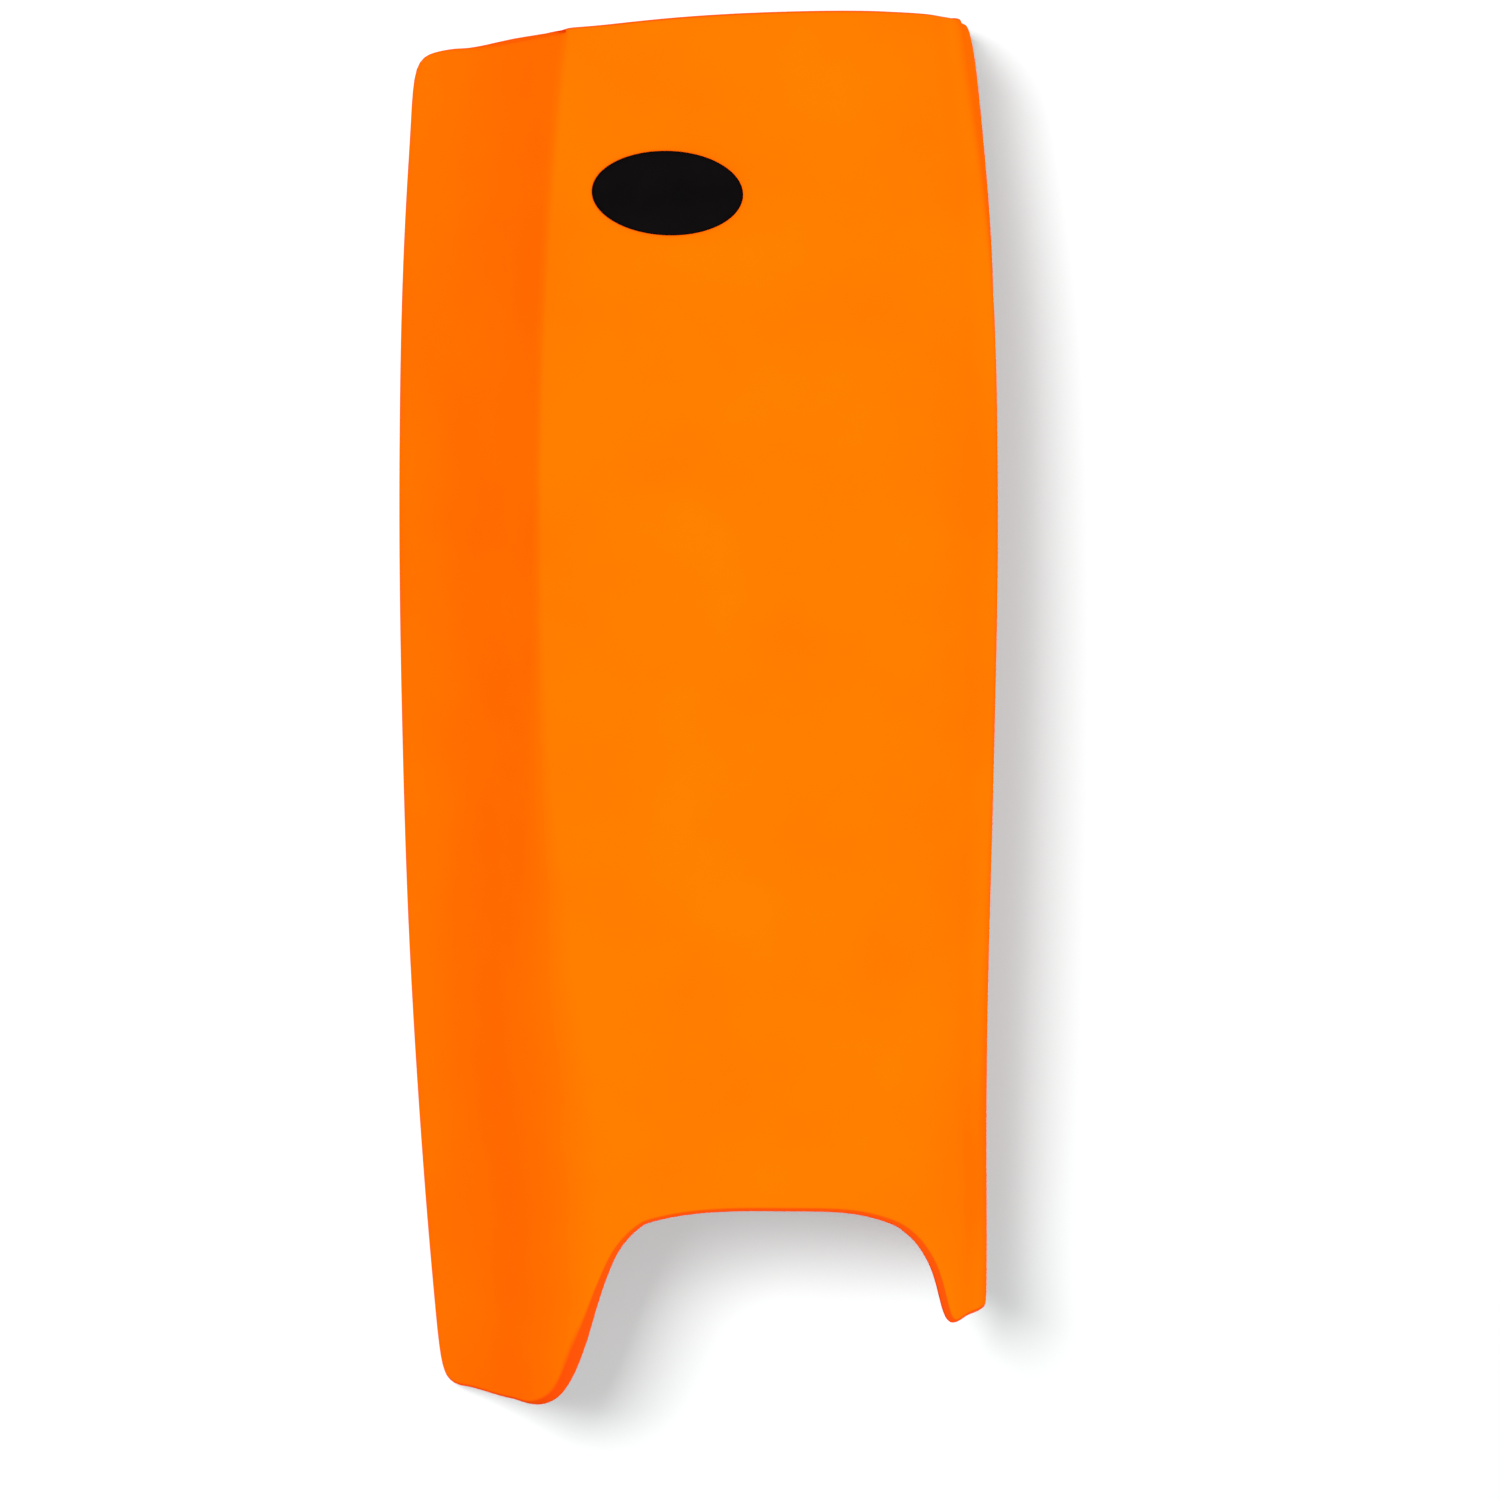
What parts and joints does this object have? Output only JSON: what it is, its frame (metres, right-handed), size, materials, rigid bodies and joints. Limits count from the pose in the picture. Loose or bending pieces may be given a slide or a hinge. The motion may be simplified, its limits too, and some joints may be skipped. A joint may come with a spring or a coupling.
{
  "type": "goalkeeper leg guard",
  "caption": "Moulded foam goalkeeper leg guard: broad rounded face, flared wings, an arch over the foot between a long and a short tip, a blank oval badge and plain straps behind the leg.",
  "frame": {"origin": "on the floor under the middle of the guard's box, in the plane of both wing rims", "axes": "+X across the guard to its right as seen from the front, +Y from the foot to the knee, +Z out of the front face"},
  "size_m": [0.2801, 0.6132, 0.1239],
  "materials": {
    "foam": "smooth matt skin of moulded closed-cell foam",
    "badge": "satin moulded rubber",
    "webbing": "woven elastic webbing",
    "clip": "fine-grained moulding"
  },
  "bodies": {
    "root": {"pad_shell": "foam", "oval_badge": "badge", "upper_strap": "webbing", "upper_clip": "clip", "middle_strap": "webbing", "middle_clip": "clip", "lower_strap": "webbing", "lower_clip": "clip"}
  },
  "joints": []
}
